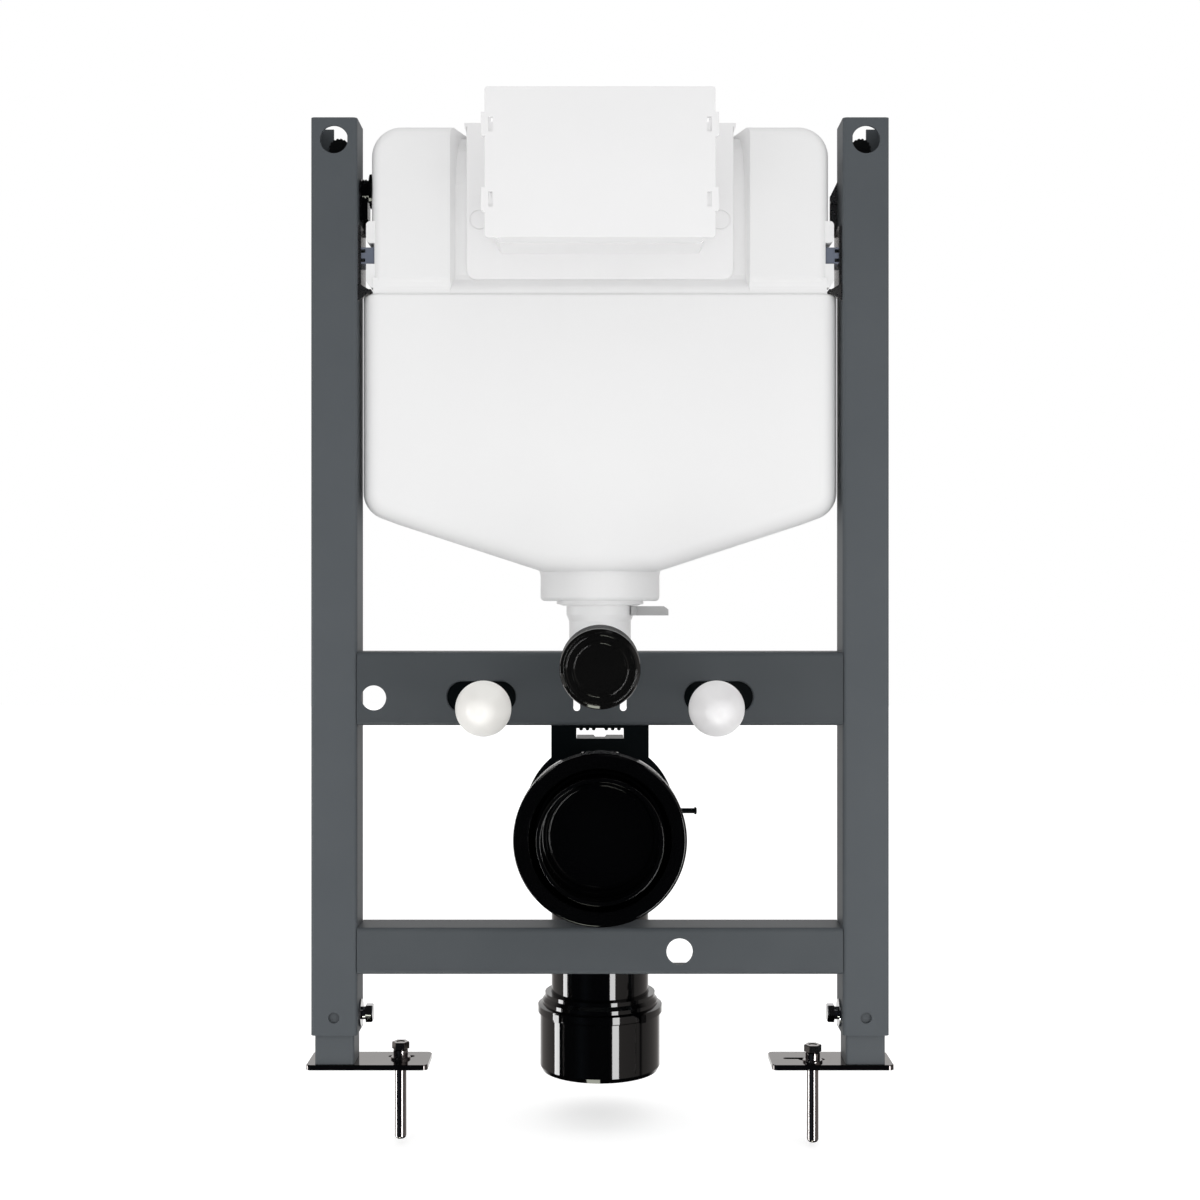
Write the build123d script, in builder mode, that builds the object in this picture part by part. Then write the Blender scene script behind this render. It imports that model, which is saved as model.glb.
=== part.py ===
from build123d import *
import math
import os

# Wall hung toilet frame. Millimetres, +X to the right, +Y towards the wall, +Z up.
# The origin is on the underside of the left foot plate, on the axis of the left post.

# Posts
post_spacing = 460.0
post_size = 40.0
post_wall = 2.5
post_corner = 3.5
post_bottom = 30.0
post_height = 793.6
wall_hole_drop = 19.0
wall_hole_r = 12.1
wall_slot_width = 12.0
sight_hole_z = 45.3
sight_hole_r = 4.8

# Telescopic legs and foot plates
leg_clearance = 0.5
leg_wall = 2.0
leg_corner = 2.5
leg_length = 235.0
plate_thick = 4.5
plate_length = 105.3
plate_depth = 44.0
plate_margin = 4.5
plate_corner = 4.5
plate_edge = 0.6
clamp_bolt_z = 45.0
clamp_bolt_r = 4.2
clamp_bolt_fit = 0.1
clamp_washer_r = 12.0
clamp_washer_thick = 1.6
clamp_washer_edge = 0.5
clamp_neck_r = 5.6
clamp_neck_length = 3.8
clamp_head_r = 8.4
clamp_head_length = 6.0
clamp_head_edge = 0.9

# Floor anchors; each arm of the foot plate's slot runs from the anchor towards the wall
left_anchor_inset = 55.2
left_anchor_y = 2.0
right_anchor_inset = 44.7
right_anchor_y = -8.0
anchor_hole_r = 5.6
anchor_arm_x = 8.6
anchor_arm_y = 7.0
anchor_arm_width = 6.0
adjust_slot_length = 19.0
adjust_slot_width = 5.0
plug_r = 5.0
plug_bottom = -65.4
plug_end_r = 3.0
plug_dimple_z = -37.0
plug_dimple_r = 1.6
plug_dimple_deep = 0.8
screw_r = 2.6
screw_tip = -48.0
screw_fit = 0.1
anchor_washer_r = 8.6
anchor_washer_thick = 2.0
anchor_edge = 0.6
anchor_collar_r = 6.4
anchor_head_r = 7.6
anchor_head_height = 6.0
anchor_height = 15.0

# Wall fixing nuts behind the posts' top holes
nut_r = 9.0
nut_height = 7.0
nut_rib_count = 16
nut_rib_r = 0.8
nut_washer_r = 10.0
nut_washer_thick = 4.0
wall_stud_length = 9.0

# Crossbars: open-backed channels
bar_wall = 2.0
bar_corner = 4.0
upper_bar_bottom = 298.0
upper_bar_height = 63.5
lower_bar_bottom = 82.6
lower_bar_height = 40.2
stud_slot_length = 59.4
stud_slot_height = 27.0
stud_slot_lip = 1.6
cable_hole_inset = 34.4
cable_hole_rise = 23.9
cable_hole_r = 10.8
lower_hole_offset = 68.8
lower_hole_r = 11.4
relief_slot_x = 20.1
relief_slot_rise = 25.0
relief_slot_length = 25.0
relief_slot_width = 5.8
flush_notch_gap = 2.0

# Pan studs, the plates that hold them and their cones
stud_spacing = 180.0
stud_rise = 24.7
stud_r = 6.0
stud_front = 186.0
stud_back = 34.0
stud_chamfer = 1.2
stud_fit = 0.2
bush_r = 11.5
bush_length = 14.0
bush_step = 25.0
stud_plate_thick = 6.0
stud_plate_length = 78.0
stud_plate_height = 40.0
cone_r = 21.6
cone_rim = 153.0
cone_length = 41.0
cone_tip_r = 3.0
cone_band = 3.0
cone_swell_r = 13.4
cone_swell_length = 11.5
cone_nose_slope = 0.25
cone_sleeve_r = 9.5
cone_sleeve_length = 24.0

# Cistern
tank_gap = 3.0
tank_front = 4.0
tank_back = 134.0
tank_height = 142.0
tank_corner = 26.0
tank_edge = 9.0
upper_inset = 8.3
belt_inset = 4.0
belt_edge = 3.5
belt_setback = 2.0
upper_belt_rise = 60.3
upper_belt_height = 18.8
lower_belt_rise = 4.6
lower_belt_height = 18.6
notch_inset = 11.2
notch_depth = 40.0
groove_rise = 269.4
groove_height = 5.0
groove_inset = 6.5
lower_corner = 24.0
lower_edge = 16.0
lower_rim = 3.0
side_rise = 86.4
slope_rise = 26.1
slope_end_x = 50.0
corner_drop = 9.0
neck_r = 54.0
neck_depth = 75.0
neck_edge = 4.0
neck_flare = 13.0
recess_half = 118.6
recess_bevel = 11.5
recess_depth = 36.0

# Access opening: the chamber front, the box that stands out from it and its cover
chamber_half = 116.4
chamber_front = 11.5
chamber_rise = 10.7
chamber_height = 136.3
chamber_corner = 9.0
chamber_edge = 1.5
lintel_height = 3.2
lintel_side = 1.9
lintel_tooth = 4.6
mark_r = 8.7
mark_x = 105.0
mark_rise = 62.6
mark_groove = 1.0
mark_deep = 0.8
arrow_rise = 78.0
arrow_length = 14.0
arrow_width = 2.0
arrow_head = 5.0
arrow_high = 0.4
box_half = 88.5
box_rise = 33.3
box_edge = 3.0
box_step = 1.0
box_step_depth = -29.0
access_reach = 77.0
cover_half = 94.5
cover_rise = 28.3
cover_height = 123.4
cover_thick = 4.0
cover_corner = 2.5
cover_edge = 0.6
tab_out = 3.0
tab_height = 20.0
tab_rise_low = 59.5
tab_rise_high = 120.9
tab_edge = 1.5
catch_width = 3.6
catch_height = 12.2
catch_inset = 4.9
catch_deep = 1.8
catch_hole_height = 4.0

# Side brackets of the cistern and their clips
bracket_plate = 2.5
bracket_front = 7.0
bracket_back = 37.0
bracket_height = 58.0
shelf_reach = 11.0
shelf_thick = 3.0
gusset_drop = 7.5
gusset_rise = 8.0
upper_web_reach = 6.4
upper_web_height = 45.0
upper_web_lap = 4.0
upper_web_slope = 13.0
upper_web_front = 36.0
upper_shelf_rise = 25.5
upper_shelf_depth = 3.0
clip_front = 8.0
clip_back = 36.0
clip_slot = 3.2
clip_slot_step = 4.0
clip_slot_length = 3.6
clip_fit = 0.5
clip_lower = 1.6

# Water inlet at the left
inlet_rise = 89.5
inlet_depth = 22.0
inlet_r = 9.6
inlet_ring_r = 10.5
inlet_ring_pitch = 2.2
inlet_flange_r = 15.0
inlet_flange_thick = 2.5
inlet_block_drop = 25.6
inlet_block_depth = 15.0
inlet_block_reach = 7.0
inlet_gap = 0.3

# Flush outlet
flush_rise = 56.4
flush_r = 28.0
flush_top_r = 30.5
flush_turn = 33.0
flush_taper = 6.0
flush_drop = 12.2
flush_fit = 0.1
flush_reach = 154.0
collar_r = 39.4
collar_thick = 2.8
collar_foot_r = 37.8
collar_foot_end_r = 33.5
collar_foot_height = 1.5
flush_clip_reach = 62.0
flush_clip_height = 8.4
flush_clip_depth = 12.0
flush_clip_gap = 0.4
flush_cap_r = 32.9
flush_cap_length = 30.0
flush_cap_face = 6.0
flush_cap_edge = 1.2
flush_cap_floor = 2.5
flush_cap_ring_r = 29.4
flush_cap_disc_r = 22.0
cap_ring_width = 1.6
cap_ring_high = 1.4

# Soil bend, its pan socket and the adaptor below
soil_drop = 77.8
soil_depth = 107.0
soil_r = 45.0
soil_turn = 62.0
spigot_end = 30.0
bend_socket_r = 55.0
bend_socket_depth = 20.0
connector_r = 68.5
connector_inner_r = 57.2
connector_front = 160.0
connector_back = 112.0
connector_floor = 6.0
connector_edge = 1.2
ridge_count = 4
ridge_pitch = 5.5
ridge_width = 1.8
ridge_high = 0.7
cap_fit = 0.2
soil_cap_back = 6.0
soil_cap_front = 4.0
soil_cap_slope = 5.0
soil_cap_floor = 10.0
soil_cap_ring_r = 48.4
soil_cap_disc_r = 41.4
adaptor_top = 44.0
adaptor_bottom = -27.0
adaptor_r = 55.4
adaptor_lip_r = 50.8
adaptor_shoulder_r = 53.3
adaptor_bead_r = 57.4
adaptor_wall = 6.0
adaptor_chamfer = 4.0
adaptor_step = 8.0
adaptor_stop = 3.0
lip_drop = 3.4
bead_bottom = 25.0
bead_edge = 1.2
catch_lug_turn = 42.0
catch_lug_width = 6.0
catch_lug_height = 7.0
catch_lug_high = 1.6

# Bracket that carries the pan bend under the upper crossbar
bend_bracket_depth = 3.0
bend_bracket_thick = 3.0
bend_bracket_half = 42.2
bend_bracket_r = 65.3
bend_bracket_fit = 0.2
window_half = 20.4
window_top_gap = 2.5
window_height = 9.0
tooth_pitch = 5.45
tooth_width = 3.4
tooth_tip = 2.4
tooth_height = 1.9
lip_depth = 44.0
lip_thick = 2.4
lip_notch_half = 4.3
lip_notch_depth = 21.5
lip_notch_slope = 1.3
clamp_pin_r = 2.25
clamp_pin_head_r = 3.15
clamp_pin_head = 2.0
clamp_pin_edge = 0.8
clamp_pin_reach = 84.1
clamp_pin_rise = 3.0
clamp_pin_fit = 0.1
clamp_lug_width = 9.0
clamp_lug_height = 12.0
clamp_lug_depth = 8.0

# Values that follow from the sizes above
mid_x = post_spacing / 2
half_post = post_size / 2
inner_half = mid_x - half_post
post_top = post_bottom + post_height
wall_hole_z = post_top - wall_hole_drop
leg_size = post_size - 2 * post_wall - 2 * leg_clearance
plate_overhang = half_post + plate_margin
stud_x = stud_spacing / 2
stud_slot_x = stud_x + bush_step / 2
stud_z = upper_bar_bottom + stud_rise
flush_z = upper_bar_bottom + flush_rise
soil_z = upper_bar_bottom - soil_drop
neck_bottom = flush_z + flush_turn + flush_taper + flush_drop
slope_end_z = neck_bottom + slope_rise
side_bottom = neck_bottom + side_rise
groove_z = neck_bottom + groove_rise
lower_half = inner_half - tank_gap
upper_half = lower_half - upper_inset
belt_half = lower_half - belt_inset
notch_half = lower_half - notch_inset
tank_top = groove_z + tank_height + 1
upper_belt_top = groove_z + upper_belt_rise
upper_belt_bottom = upper_belt_top - upper_belt_height
lower_belt_bottom = groove_z + lower_belt_rise
lower_belt_top = lower_belt_bottom + lower_belt_height
chamber_bottom = groove_z + chamber_rise
chamber_top = chamber_bottom + chamber_height
box_bottom = groove_z + box_rise
cover_bottom = groove_z + cover_rise
cover_top = cover_bottom + cover_height

# Planes that the profiles are drawn on; depths are measured back from the front of the posts
front_plane = Plane.XZ.offset(half_post)
inner_plane = Plane.YZ.offset(half_post)
mirror_plane = Plane.YZ.offset(mid_x)


def depth(value):
    """The y of a depth behind the front face of the posts; in front of it, the depth is negative."""
    return value - half_post


def at_depth(value):
    """An upright plane, facing the front, at a depth behind the front face of the posts."""
    return Plane.XZ.offset(-depth(value))


parts = []


def keep(builder, label):
    """Names a finished piece and lists it for export."""
    builder.part.label = label
    parts.append(builder.part)


def mirrored(builder, label):
    """The right-hand piece of a pair, mirrored from the left-hand one."""
    with BuildPart() as twin:
        add(mirror(builder.part, about=mirror_plane, mode=Mode.PRIVATE))
    keep(twin, label)


# Left post: box tube with the wall fixing hole at its top and the sight hole at its foot
with BuildPart() as left_post:
    with BuildSketch(Plane.XY.offset(post_bottom)):
        RectangleRounded(post_size, post_size, post_corner)
        RectangleRounded(
            post_size - 2 * post_wall,
            post_size - 2 * post_wall,
            post_corner - post_wall,
            mode=Mode.SUBTRACT,
        )
    extrude(amount=post_height)
    with BuildSketch(front_plane):
        with Locations((0, wall_hole_z)):
            Circle(wall_hole_r)
        with Locations((0, sight_hole_z)):
            Circle(sight_hole_r)
    extrude(amount=-post_wall, mode=Mode.SUBTRACT)
    # the back wall is slotted down from its upper end for the wall bolt
    with BuildSketch(Plane.XZ.offset(-half_post + post_wall)):
        with Locations((0, wall_hole_z)):
            Circle(wall_slot_width / 2)
        with Locations((0, (wall_hole_z + post_top) / 2)):
            Rectangle(wall_slot_width, post_top - wall_hole_z)
    extrude(amount=-post_wall, mode=Mode.SUBTRACT)
    # threaded hole of the clamp bolt in the inner wall
    with BuildSketch(inner_plane):
        with Locations((0, clamp_bolt_z)):
            Circle(clamp_bolt_r)
    extrude(amount=-post_wall, mode=Mode.SUBTRACT)
keep(left_post, "left_post")
mirrored(left_post, "right_post")


# Wall fixing nuts with ribbed rims, seen through the top holes
with BuildPart() as left_wall_nut:
    with BuildSketch(Plane.XZ.offset(-half_post + post_wall)):
        with Locations((0, wall_hole_z)):
            Circle(nut_r)
            with PolarLocations(nut_r, nut_rib_count):
                Circle(nut_rib_r, mode=Mode.SUBTRACT)
    extrude(amount=nut_height)
    # the stud through the slot and the washer behind it
    with BuildSketch(Plane.XZ.offset(-half_post - wall_stud_length)):
        with Locations((0, wall_hole_z)):
            Circle(wall_slot_width / 2 - stud_fit)
    extrude(amount=wall_stud_length + post_wall + nut_height + 2 * stud_fit)
    with BuildSketch(Plane.XZ.offset(-half_post)):
        with Locations((0, wall_hole_z)):
            Circle(nut_washer_r)
    extrude(amount=-nut_washer_thick)
keep(left_wall_nut, "left_wall_nut")
mirrored(left_wall_nut, "right_wall_nut")


# Legs: square tubes that slide in the posts and stand on the foot plates
with BuildPart() as left_leg_tube:
    with BuildSketch(Plane.XY.offset(plate_thick)):
        RectangleRounded(leg_size, leg_size, leg_corner)
        RectangleRounded(
            leg_size - 2 * leg_wall,
            leg_size - 2 * leg_wall,
            leg_corner - leg_wall,
            mode=Mode.SUBTRACT,
        )
    extrude(amount=leg_length)
keep(left_leg_tube, "left_leg_tube")
mirrored(left_leg_tube, "right_leg_tube")


def foot_plate(anchor_x, anchor_y, adjust_slot):
    """A foot plate whose outer end is at the left, with the branched slot of its anchor."""
    plate_centre = (plate_length / 2 - plate_overhang, plate_depth / 2 - half_post)
    with BuildPart() as plate:
        with BuildSketch():
            with Locations(plate_centre):
                RectangleRounded(plate_length, plate_depth, plate_corner)
            with Locations((anchor_x, anchor_y)):
                Circle(anchor_hole_r, mode=Mode.SUBTRACT)
            for side in (-1, 1):
                with Locations((anchor_x + side * anchor_arm_x / 2, anchor_y + anchor_arm_y / 2)):
                    SlotCenterToCenter(
                        math.hypot(anchor_arm_x, anchor_arm_y),
                        anchor_arm_width,
                        rotation=math.degrees(math.atan2(anchor_arm_y, side * anchor_arm_x)),
                        mode=Mode.SUBTRACT,
                    )
            if adjust_slot:
                with Locations((anchor_x + adjust_slot_length / 2 + anchor_hole_r, plate_centre[1])):
                    SlotOverall(adjust_slot_length, adjust_slot_width, mode=Mode.SUBTRACT)
        extrude(amount=plate_thick)
        chamfer(plate.faces().sort_by(Axis.Z)[-1].outer_wire().edges(), plate_edge)
    return plate


left_foot_plate = foot_plate(left_anchor_inset, left_anchor_y, False)
keep(left_foot_plate, "left_foot_plate")
mirrored(foot_plate(right_anchor_inset, right_anchor_y, True), "right_foot_plate")


def anchor_screw(x, y):
    """Floor screw: hex head with its washers on the plate, shank down into the plug."""
    with BuildPart() as screw:
        with BuildSketch(Plane.XY.offset(screw_tip)):
            with Locations((x, y)):
                Circle(screw_r)
        extrude(amount=plate_thick - screw_tip)
        with BuildSketch(Plane.XY.offset(plate_thick)):
            with Locations((x, y)):
                Circle(anchor_washer_r)
        extrude(amount=anchor_washer_thick)
        chamfer(screw.faces().sort_by(Axis.Z)[-1].edges(), anchor_edge)
        with BuildSketch(Plane.XY.offset(plate_thick + anchor_washer_thick)):
            with Locations((x, y)):
                Circle(anchor_collar_r)
        extrude(amount=anchor_height - anchor_head_height - anchor_washer_thick)
        chamfer(screw.faces().sort_by(Axis.Z)[-1].edges(), 2 * anchor_edge)
        with BuildSketch(Plane.XY.offset(plate_thick + anchor_height - anchor_head_height)):
            with Locations((x, y)):
                RegularPolygon(anchor_head_r, 6)
        extrude(amount=anchor_head_height)
        chamfer(screw.faces().sort_by(Axis.Z)[-1].edges(), anchor_edge)
        # the driver's shallow round recess in the head
        with BuildSketch(Plane.XY.offset(plate_thick + anchor_height)):
            with Locations((x, y)):
                Circle(anchor_head_r / 2)
        extrude(amount=-anchor_edge, mode=Mode.SUBTRACT)
    return screw


def floor_plug(x, y):
    """Sleeve in the floor around the screw, with a rounded lower end and a dimple."""
    with BuildPart() as plug:
        with BuildSketch(Plane.XY.offset(plug_bottom)):
            with Locations((x, y)):
                Circle(plug_r)
        extrude(amount=plate_thick - screw_fit - plug_bottom)
        fillet(plug.faces().sort_by(Axis.Z)[0].edges(), plug_end_r)
        with BuildSketch(Plane.XY.offset(screw_tip - screw_fit)):
            with Locations((x, y)):
                Circle(screw_r + screw_fit)
        extrude(amount=plate_thick - screw_tip, mode=Mode.SUBTRACT)
        with BuildSketch(Plane.XZ.offset(-y + plug_r - plug_dimple_deep)):
            with Locations((x - plug_dimple_r, plug_dimple_z)):
                Circle(plug_dimple_r)
        extrude(amount=plug_r, mode=Mode.SUBTRACT)
    return plug


left_anchor_screw = anchor_screw(left_anchor_inset, left_anchor_y)
keep(left_anchor_screw, "left_anchor_screw")
left_floor_plug = floor_plug(left_anchor_inset, left_anchor_y)
keep(left_floor_plug, "left_floor_plug")
right_anchor_screw = anchor_screw(post_spacing - right_anchor_inset, right_anchor_y)
keep(right_anchor_screw, "right_anchor_screw")
right_floor_plug = floor_plug(post_spacing - right_anchor_inset, right_anchor_y)
keep(right_floor_plug, "right_floor_plug")


# Clamp bolts of the legs, screwed in from the inner side of each post
with BuildPart() as left_clamp_bolt:
    with BuildSketch(inner_plane):
        with Locations((0, clamp_bolt_z)):
            Circle(clamp_washer_r)
    extrude(amount=clamp_washer_thick)
    chamfer(left_clamp_bolt.faces().sort_by(Axis.X)[-1].edges(), clamp_washer_edge)
    with BuildSketch(Plane.YZ.offset(leg_size / 2 + leg_clearance / 2)):
        with Locations((0, clamp_bolt_z)):
            Circle(clamp_bolt_r - clamp_bolt_fit)
    extrude(amount=post_wall + leg_clearance + clamp_washer_thick)
    with BuildSketch(inner_plane.offset(clamp_washer_thick)):
        with Locations((0, clamp_bolt_z)):
            Circle(clamp_neck_r)
    extrude(amount=clamp_neck_length)
    with BuildSketch(inner_plane.offset(clamp_washer_thick + clamp_neck_length)):
        with Locations((0, clamp_bolt_z)):
            RegularPolygon(clamp_head_r, 6)
    extrude(amount=clamp_head_length)
    chamfer(left_clamp_bolt.faces().sort_by(Axis.X)[-1].edges(), clamp_head_edge)
keep(left_clamp_bolt, "left_clamp_bolt")
mirrored(left_clamp_bolt, "right_clamp_bolt")


def channel(bottom, height):
    """An open-backed channel between the posts, its web flush with their front."""
    with BuildPart() as bar:
        with BuildSketch(inner_plane):
            with BuildLine():
                FilletPolyline(
                    (half_post, bottom),
                    (-half_post, bottom),
                    (-half_post, bottom + height),
                    (half_post, bottom + height),
                    radius=bar_corner,
                )
                offset(amount=-bar_wall, side=Side.RIGHT)
            make_face()
        extrude(amount=post_spacing - post_size)
    return bar


# Upper crossbar with the stud slots, the cable hole and the notch of the flush bend
stud_slots = ((mid_x - stud_slot_x, stud_z), (mid_x + stud_slot_x, stud_z))
upper_channel = channel(upper_bar_bottom, upper_bar_height)
with BuildPart() as upper_crossbar:
    add(upper_channel.part)
    with BuildSketch(front_plane):
        with Locations(*stud_slots):
            SlotOverall(stud_slot_length, stud_slot_height)
    extrude(amount=-bar_wall, mode=Mode.SUBTRACT)
    # the rims of the stud slots are rolled inwards
    front_face = upper_crossbar.faces().sort_by(Axis.Y)[0]
    fillet(front_face.inner_wires().edges(), stud_slot_lip)
    with BuildSketch(front_plane):
        with Locations((cable_hole_inset, upper_bar_bottom + cable_hole_rise)):
            Circle(cable_hole_r)
        with Locations((mid_x, flush_z)):
            Circle(flush_r + flush_notch_gap)
        with Locations((mid_x, (flush_z + upper_bar_bottom + upper_bar_height) / 2)):
            Rectangle(
                2 * (flush_r + flush_notch_gap),
                upper_bar_bottom + upper_bar_height - flush_z,
            )
        relief_z = upper_bar_bottom + relief_slot_rise
        with Locations((mid_x - relief_slot_x, relief_z), (mid_x + relief_slot_x, relief_z)):
            SlotOverall(relief_slot_length, relief_slot_width, rotation=90)
    extrude(amount=-bar_wall, mode=Mode.SUBTRACT)
    with BuildSketch(Plane.XY.offset(upper_bar_bottom + upper_bar_height)):
        with Locations((mid_x, 0)):
            Rectangle(2 * (flush_r + flush_notch_gap), post_size + 2 * bar_wall)
    extrude(amount=-bar_corner, mode=Mode.SUBTRACT)
keep(upper_crossbar, "upper_crossbar")

lower_channel = channel(lower_bar_bottom, lower_bar_height)
with BuildPart() as lower_crossbar:
    add(lower_channel.part)
    with BuildSketch(front_plane):
        with Locations((mid_x + lower_hole_offset, lower_bar_bottom + lower_bar_height / 2)):
            Circle(lower_hole_r)
    extrude(amount=-bar_wall, mode=Mode.SUBTRACT)
keep(lower_crossbar, "lower_crossbar")


# Stud plates behind the slots, each with two threaded bushes for the two pan spacings
bushes = ((mid_x - stud_x, stud_z), (mid_x - stud_x - bush_step, stud_z))
with BuildPart() as left_stud_plate:
    with BuildSketch(at_depth(bar_wall)):
        with Locations((mid_x - stud_slot_x, upper_bar_bottom + upper_bar_height / 2)):
            RectangleRounded(stud_plate_length, stud_plate_height, bar_corner)
        with Locations(*bushes):
            Circle(stud_r, mode=Mode.SUBTRACT)
    extrude(amount=-stud_plate_thick)
    with BuildSketch(at_depth(bar_wall + stud_plate_thick)):
        with Locations(*bushes):
            Circle(bush_r)
            Circle(stud_r, mode=Mode.SUBTRACT)
    extrude(amount=-bush_length)
keep(left_stud_plate, "left_stud_plate")
mirrored(left_stud_plate, "right_stud_plate")

# Pan studs and the cones on their ends
with BuildPart() as left_stud:
    with BuildSketch(at_depth(stud_back)):
        with Locations((mid_x - stud_x, stud_z)):
            Circle(stud_r)
    extrude(amount=stud_back + stud_front)
    chamfer(left_stud.edges().filter_by(GeomType.CIRCLE), stud_chamfer)
keep(left_stud, "left_stud")
mirrored(left_stud, "right_stud")

with BuildPart() as left_stud_cone:
    with BuildSketch(Plane.XY.offset(stud_z)):
        with BuildLine():
            axis_x = mid_x - stud_x
            rim_y = depth(-cone_rim)
            tip_y = rim_y - cone_length
            bore_y = depth(-stud_front) - stud_fit
            sleeve_y = rim_y + cone_sleeve_length
            Polyline(
                (axis_x + cone_r, rim_y - cone_band),
                (axis_x + cone_r, rim_y),
                (axis_x + cone_r - cone_band, rim_y + cone_band),
                (axis_x + cone_sleeve_r, rim_y + cone_band + 1),
                (axis_x + cone_sleeve_r, sleeve_y),
                (axis_x + stud_r + stud_fit, sleeve_y),
                (axis_x + stud_r + stud_fit, bore_y),
                (axis_x, bore_y),
                (axis_x, tip_y),
                (axis_x + cone_tip_r, tip_y),
            )
            # the nose swells from the small tip to the rim
            Spline(
                (axis_x + cone_tip_r, tip_y),
                (axis_x + cone_swell_r, tip_y + cone_swell_length),
                (axis_x + cone_r, rim_y - cone_band),
                tangents=((1, cone_nose_slope), (cone_nose_slope / 2, 1)),
            )
        make_face()
    revolve(axis=Axis((mid_x - stud_x, 0, stud_z), (0, 1, 0)))
keep(left_stud_cone, "left_stud_cone")
mirrored(left_stud_cone, "right_stud_cone")


# Cistern: lower body with its sloping floor, upper body with belts, and the deep access recess
tank_depth = tank_back - tank_front
with BuildPart() as cistern_tank:
    with BuildSketch(at_depth(tank_front)):
        with BuildLine():
            Polyline(
                (mid_x - lower_half, groove_z + lower_corner),
                (mid_x - lower_half, side_bottom - corner_drop),
                (mid_x - slope_end_x, slope_end_z),
                (mid_x + slope_end_x, slope_end_z),
                (mid_x + lower_half, side_bottom - corner_drop),
                (mid_x + lower_half, groove_z + lower_corner),
                close=True,
            )
        lower_face = make_face()
        fillet(lower_face.vertices().group_by(Axis.Y)[1], lower_corner)
    extrude(amount=-tank_depth)
    fillet(cistern_tank.faces().sort_by(Axis.Y)[0].outer_wire().edges(), lower_edge)
    split(bisect_by=Plane.XY.offset(groove_z - groove_height / 2), keep=Keep.BOTTOM)
    fillet(cistern_tank.faces().sort_by(Axis.Z)[-1].edges().group_by(Axis.Y)[0], lower_rim)
    # upper body
    upper_bottom = groove_z + groove_height / 2
    with BuildSketch(at_depth(tank_front)):
        with BuildLine():
            Polyline(
                (mid_x - upper_half, upper_bottom),
                (mid_x - upper_half, tank_top),
                (mid_x + upper_half, tank_top),
                (mid_x + upper_half, upper_bottom),
                close=True,
            )
        upper_face = make_face()
        fillet(upper_face.vertices().group_by(Axis.Y)[-1], tank_corner)
    upper_body = extrude(amount=-tank_depth)
    fillet(upper_body.faces().sort_by(Axis.Y)[0].outer_wire().edges(), tank_edge)
    # belts at the sides of the upper body, the lower one with its outer corner cut away
    with BuildSketch(at_depth(tank_front + belt_setback)):
        with Locations((mid_x, (upper_belt_top + upper_belt_bottom) / 2)):
            RectangleRounded(2 * belt_half, upper_belt_height, belt_edge)
        with BuildLine():
            Polyline(
                (mid_x - belt_half, lower_belt_top),
                (mid_x + belt_half, lower_belt_top),
                (mid_x + belt_half, lower_belt_bottom + belt_edge),
                (mid_x + upper_half, upper_bottom),
                (mid_x - upper_half, upper_bottom),
                (mid_x - belt_half, lower_belt_bottom + belt_edge),
                close=True,
            )
        make_face()
    extrude(amount=-(tank_depth - 2 * belt_setback))
    # pockets of the clips between the belts
    pocket_z = (upper_belt_bottom + lower_belt_top) / 2
    pocket_height = upper_belt_bottom - lower_belt_top
    with BuildSketch(front_plane):
        for side in (-1, 1):
            with Locations((mid_x + side * inner_half, pocket_z)):
                Rectangle(2 * (inner_half - notch_half), pocket_height)
    extrude(amount=-notch_depth, mode=Mode.SUBTRACT)
    # groove core, set back all round
    with BuildSketch(Plane.XY.offset(groove_z - groove_height)):
        with Locations((mid_x, depth((tank_front + tank_back) / 2))):
            Rectangle(2 * (upper_half - groove_inset), tank_depth - 2 * groove_inset)
    extrude(amount=2 * groove_height)
    # deep recess between the shoulders, with bevelled cheeks
    with BuildSketch(Plane.XY.offset(chamber_bottom - chamber_corner)):
        with BuildLine():
            Polyline(
                (mid_x - recess_half - recess_bevel, depth(0)),
                (mid_x - recess_half - recess_bevel, depth(tank_front)),
                (mid_x - recess_half, depth(tank_front + recess_depth)),
                (mid_x + recess_half, depth(tank_front + recess_depth)),
                (mid_x + recess_half + recess_bevel, depth(tank_front)),
                (mid_x + recess_half + recess_bevel, depth(0)),
                close=True,
            )
        make_face()
    extrude(amount=tank_top, mode=Mode.SUBTRACT)
    # outlet neck under the sloping floor, flared where it meets the body
    with BuildSketch(Plane.YZ.offset(mid_x)):
        with BuildLine():
            neck_y = depth(neck_depth)
            Polyline(
                (neck_y - neck_r, slope_end_z - neck_edge),
                (neck_y - neck_r, neck_bottom),
                (neck_y, neck_bottom),
                (neck_y, slope_end_z + 2 * neck_flare),
                (neck_y - neck_r - neck_flare, slope_end_z + 2 * neck_flare),
                (neck_y - neck_r - neck_flare, slope_end_z + neck_flare - neck_edge),
            )
            TangentArc(
                (neck_y - neck_r, slope_end_z - neck_edge),
                (neck_y - neck_r - neck_flare, slope_end_z + neck_flare - neck_edge),
                tangent=(0, 1),
            )
        make_face()
    revolve(axis=Axis((mid_x, neck_y, 0), (0, 0, 1)))
    fillet(cistern_tank.faces().sort_by(Axis.Z)[0].outer_wire().edges(), neck_edge)
keep(cistern_tank, "cistern_tank")


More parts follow.
